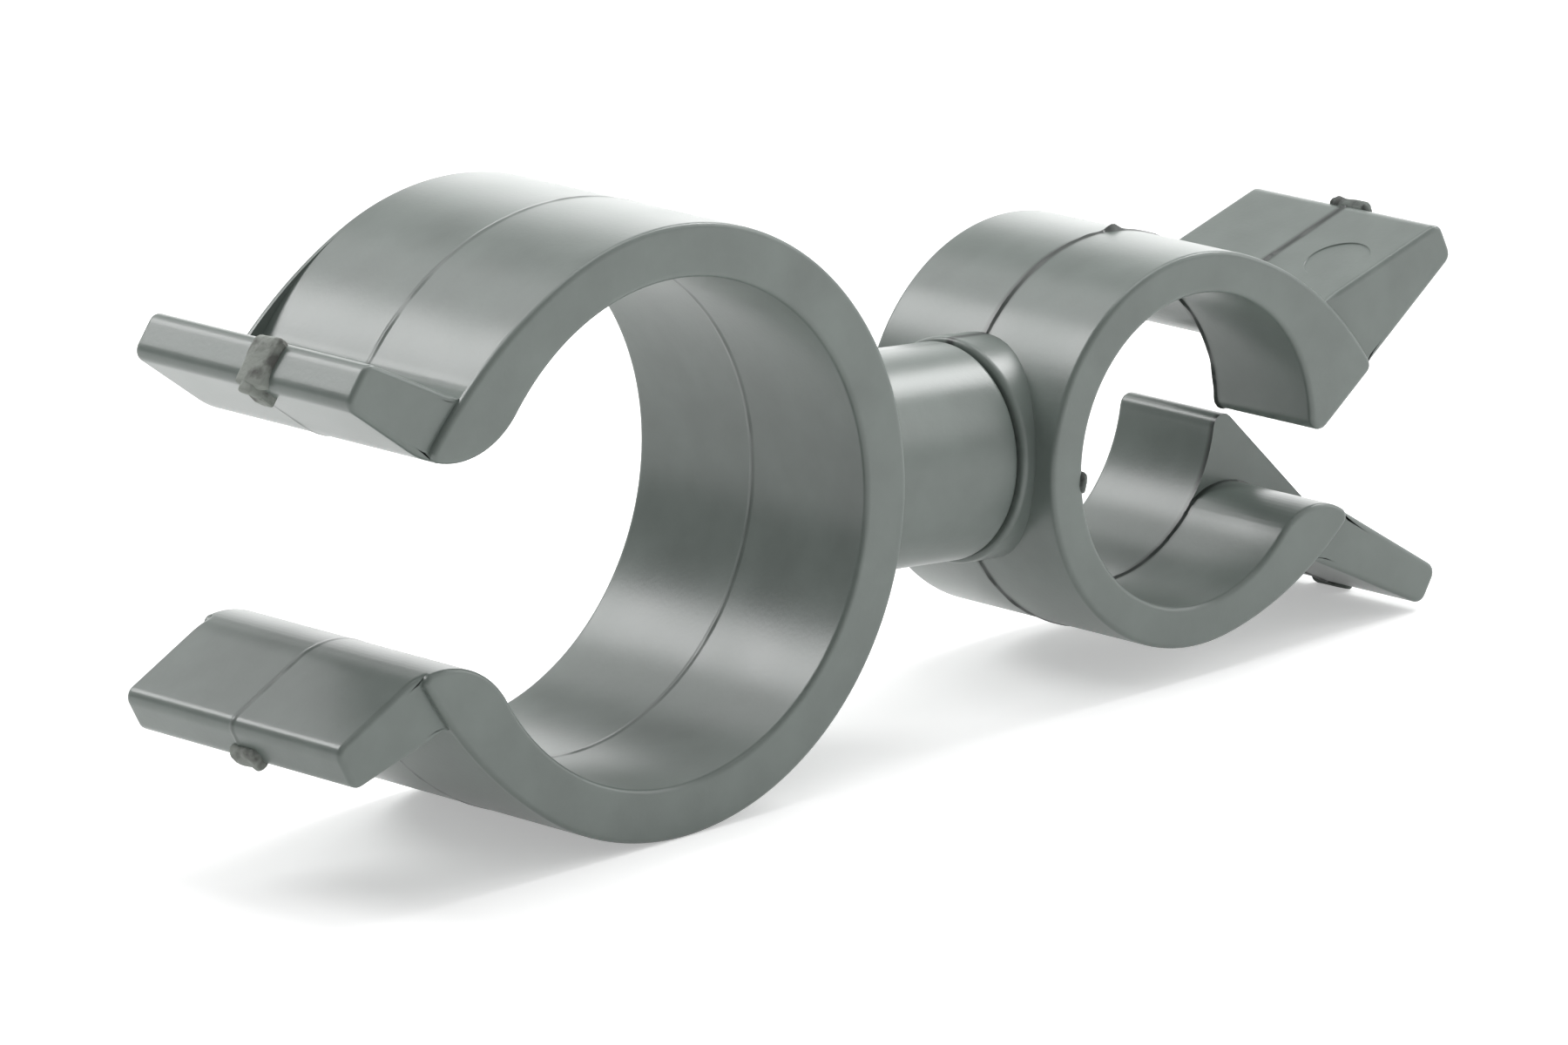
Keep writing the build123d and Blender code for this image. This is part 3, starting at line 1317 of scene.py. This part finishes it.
@dataclass(frozen=True)
class LargeClip(Clip):
    """Clip for the thick tube: a plain ring with two flared wings, and the boss at its back."""

    wall: float = 2.65
    mouth_gap: float = 9.9
    nose_radius: float = 4.6
    wing_length: float = 4.95
    lead_in: float = 32.0
    back: float = 22.0
    tip_thickness: float = 2.4
    cheek_rise: float = 9.35
    cheek_angle: float = 60.0
    boss_sink: float = 0.6
    tab_width: float = 2.0
    tab_shift: tuple[float, float] = (-1.0, -0.4)
    tab_spans: tuple[tuple[float, float], ...] = ((0.0, 1.0), (0.62, 1.0))
    tear: Sizes = (0.95, 0.5, 0.45)
    tear_edge: float = 0.2
    tear_from_tip: float = 0.6
    flash: Flash = Flash(0.03, 0.035, 1.0)
    ridge: tuple[tuple[float, float], ...] = (
        (-0.24, 0.0), (-0.16, 0.0), (-0.05, 1.0), (0.05, 1.0), (0.16, 0.0), (0.24, 0.0),
    )

    def torn_edge(self, jaw: Jaw, scar: bpy.types.Material) -> bpy.types.Object:
        """Builds the torn flash that hangs from the upper wing's lead-in, behind its inner edge.

        Args:
            jaw: Upper jaw.
            scar: Material of the torn plastic.

        Returns:
            The object.
        """
        spot = point(*jaw.tip) - heading(jaw.lead_in) * self.tear_from_tip
        place = self.seat.place(spot[0], spot[1], self.tab_shift[0])
        axes = self.seat.axes(jaw.lead_in, 1.0)
        return self.torn(place, axes, self.tear, self.tear_edge, scar, "torn_edge")

    def build(
        self, swivel: Swivel, finish: bpy.types.Material, scar: bpy.types.Material
    ) -> bpy.types.Object:
        """Builds the moulding in one piece.

        Args:
            swivel: Sizes of the boss and its socket.
            finish: Material of the clip.
            scar: Material of the torn mould tabs.

        Returns:
            The piece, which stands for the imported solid.
        """
        jaw = make_jaw(self, Stagger.SHORT)
        layers = Layers(self.seat, self.side_edge)
        loop = self.side(layers, (jaw, jaw), -1.0, 0.0, self.ridge[0][0])
        self.parting(layers, loop)
        self.side(layers, (jaw, jaw), 1.0, 0.0, self.ridge[-1][0])
        piece = layers.skin("large_clip_body")
        back_seat = Seat(self.seat.origin, -self.seat.mouth, self.seat.up)
        boss = swivel.boss(back_seat, jaw.outside, self.bore + self.boss_sink)
        tabs = [self.tab(jaw, sign, scar) for sign in (1.0, -1.0)]
        piece.data.materials.append(finish)
        Builder.merge(piece, [boss, *tabs, self.torn_edge(jaw, scar)], Cut.JOIN)
        Builder.merge(piece, [swivel.socket(back_seat)], Cut.TAKE_OUT)
        Builder.smooth(piece)
        dress(piece, "large_clip")
        return piece


@dataclass(frozen=True)
class SmallClip(Clip):
    """Clip for the thin tube: two halves with staggered fingers, the pad at its back and the snap pin."""

    wall: float = 2.1
    mouth_gap: float = 7.4
    nose_radius: float = 3.4
    wing_length: float = 8.5
    lead_in: float = 28.0
    back: float = 22.0
    tip_thickness: float = 2.1
    cheek_rise: float = 7.2
    cheek_angle: float = 75.0
    finger_height: float = -0.7
    finger_radius: float = 0.7
    centre_distance: float = 36.4
    pad_sink: float = 0.2
    flash: Flash = Flash(0.07, 0.07, 5.0, nubs=((0.18, 10.1, 0.3),))
    ridge: tuple[tuple[float, float], ...] = ((-0.26, 0.0), (-0.18, 0.0), (-0.06, 1.0), (0.0, 1.0))
    mismatch: float = 0.035
    mismatch_end: float = 0.08
    burr_angle: float = 186.0
    burr_from_side: float = 0.3
    burr_half: Sizes = (0.3, 0.55, 0.42)
    burr_edge: float = 0.25
    mark_from_tip: float = 5.0
    mark_across: float = -3.9
    mark_profile: tuple[tuple[float, float], ...] = ((-0.06, 1.7), (0.0, 1.75), (0.5, 1.8))
    mark_segments: int = 64

    def body(self) -> bpy.types.Object:
        """Builds the ring with its wings: two halves that meet at the middle plane with a slight mismatch.

        Returns:
            The object.
        """
        long_jaw = make_jaw(self, Stagger.LONG)
        short_jaw = make_jaw(self, Stagger.SHORT)
        layers = Layers(self.seat, self.side_edge)
        near = self.side(layers, (long_jaw, short_jaw), -1.0, 0.0, self.ridge[0][0])
        self.parting(layers, near)
        far, _ = self.closed(short_jaw.runs()[0], long_jaw.runs()[0])
        for across in (0.0, self.mismatch_end):
            layers.add(across, far, self.mismatch)
        self.side(layers, (short_jaw, long_jaw), 1.0, self.mismatch, self.mismatch_end)
        return layers.skin("small_clip_body")

    def burr(self, scar: bpy.types.Material) -> bpy.types.Object:
        """Builds the small burr at the near edge of the bore's back, in torn material whose dark blotches are
        partly painted shade.

        Args:
            scar: Material of the torn plastic.

        Returns:
            The object.
        """
        seat = self.seat
        spot = self.bore * heading(radians(self.burr_angle))
        place = seat.place(spot[0], spot[1], -self.width / 2 + self.burr_from_side)
        axes = (seat.mouth, seat.up, seat.across)
        return self.torn(place, axes, self.burr_half, self.burr_edge, scar, "burr")

    def ejector_mark(self, jaw: Jaw) -> bpy.types.Object:
        """Builds the shallow round mark on the near half of the upper wing, as a tool to take out.

        Args:
            jaw: Upper jaw.

        Returns:
            The object.
        """
        seat = self.seat
        out = heading(jaw.back + pi / 2)
        spot = jaw.outer_tip - self.mark_from_tip * heading(jaw.back)
        normal = seat.mouth * out[0] + seat.up * out[1]
        level = seat.place(spot[0], spot[1], self.mark_across)
        mark_seat = Seat(level, normal, normal.cross(seat.across))
        return Builder.turned(list(self.mark_profile), mark_seat, "ejector_mark", self.mark_segments)

    def build(
        self, swivel: Swivel, finish: bpy.types.Material, scar: bpy.types.Material
    ) -> bpy.types.Object:
        """Builds the moulding in one piece.

        Args:
            swivel: Sizes of the pad and the pin.
            finish: Material of the clip.
            scar: Material of the torn mould tabs.

        Returns:
            The piece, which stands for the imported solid.
        """
        piece = self.body()
        centre = self.seat.origin - self.seat.mouth * self.centre_distance
        axis_seat = Seat(centre, self.seat.mouth, self.seat.up)
        pad = swivel.pad(axis_seat, self.centre_distance - self.bore - self.pad_sink)
        jaw = make_jaw(self, Stagger.SHORT)
        tabs = [self.tab(jaw, sign, scar) for sign in (1.0, -1.0)]
        piece.data.materials.append(finish)
        Builder.merge(piece, [pad, swivel.pin(axis_seat), *tabs, self.burr(scar)], Cut.JOIN)
        Builder.merge(piece, [self.ejector_mark(jaw)], Cut.TAKE_OUT)
        Builder.smooth(piece)
        dress(piece, "small_clip")
        return piece


def make_jaw(clip: LargeClip | SmallClip, finger: Stagger) -> Jaw:
    """Works out a jaw from a clip's sizes.

    Args:
        clip: The clip, which is the small one where the finger is long.
        finger: Whether the jaw has the short or the long finger.

    Returns:
        The jaw.
    """
    lead_in = radians(clip.lead_in)
    nose_y = clip.mouth_gap / 2 + clip.nose_radius
    nose_x = sqrt((clip.bore + clip.nose_radius) ** 2 - nose_y**2)
    tip = (
        nose_x + clip.nose_radius * sin(lead_in) + clip.wing_length * cos(lead_in),
        nose_y - clip.nose_radius * cos(lead_in) + clip.wing_length * sin(lead_in),
    )
    jaw = Jaw(
        bore=clip.bore, wall=clip.wall, lead_in=lead_in, end_angle=lead_in, back=radians(clip.back),
        tip=tip, tip_thickness=clip.tip_thickness, nose_radius=clip.nose_radius,
        cheek_angle=radians(clip.cheek_angle), cheek_rise=clip.cheek_rise,
        split=atan2(nose_y, nose_x) + PAST_NOSE,
    )
    if finger is Stagger.SHORT:
        return jaw
    finger_x = sqrt(clip.bore**2 - clip.finger_height**2)
    slope = atan2(tip[1] - clip.finger_height, tip[0] - finger_x)
    return replace(jaw, lead_in=slope, nose_radius=clip.finger_radius)


def dress(piece: bpy.types.Object, node: str) -> None:
    """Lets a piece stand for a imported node, on the node's own body.

    Args:
        piece: The piece.
        node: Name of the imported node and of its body.
    """
    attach(piece, node)
    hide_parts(node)
    LOG.info("%s: %d faces", piece.name, len(piece.data.polygons))


def main() -> None:
    """Builds both clips and the studio."""
    logging.basicConfig(level=logging.INFO)
    solid_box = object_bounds()
    mounts = {m["name"]: m for m in frame["record"]["mounts"]}
    along = Vector(frame["joints"][0]["axis"]).normalized()
    up = Vector((-along.z, 0.0, along.x))
    large, small = mounts["large_bore"], mounts["small_bore"]
    swivel = Swivel()
    plain = Plastic().build()
    # The small clip's material paints wider, stronger shade and dirt into its parting line's step
    seam_shaded_plastic = Plastic("grey_plastic_seam_shaded", line_width=0.4, line_strength=0.9).build()
    # Torn materials: their dark blotches are partly painted shade on the tabs, the torn edge and the burr
    scar = Scar().build()
    faint_scar = Scar("torn_plastic_faint", dark_torn_and_shade=(0.1, 0.104, 0.094), pale=(0.25, 0.27, 0.245)).build()
    large_seat = Seat(Vector(large["pos_m"]) / MM, -along, up)
    small_seat = Seat(Vector(small["pos_m"]) / MM, along, up)
    large_clip = LargeClip(large_seat, large["dims"]["length_mm"], large["dims"]["r_mm"])
    small_clip = SmallClip(small_seat, small["dims"]["length_mm"], small["dims"]["r_mm"])
    large_clip.build(swivel, plain, faint_scar)
    small_clip.build(swivel, seam_shaded_plastic, scar)
    Studio().build(solid_box[0][2])


if __name__ == "__main__":
    main()
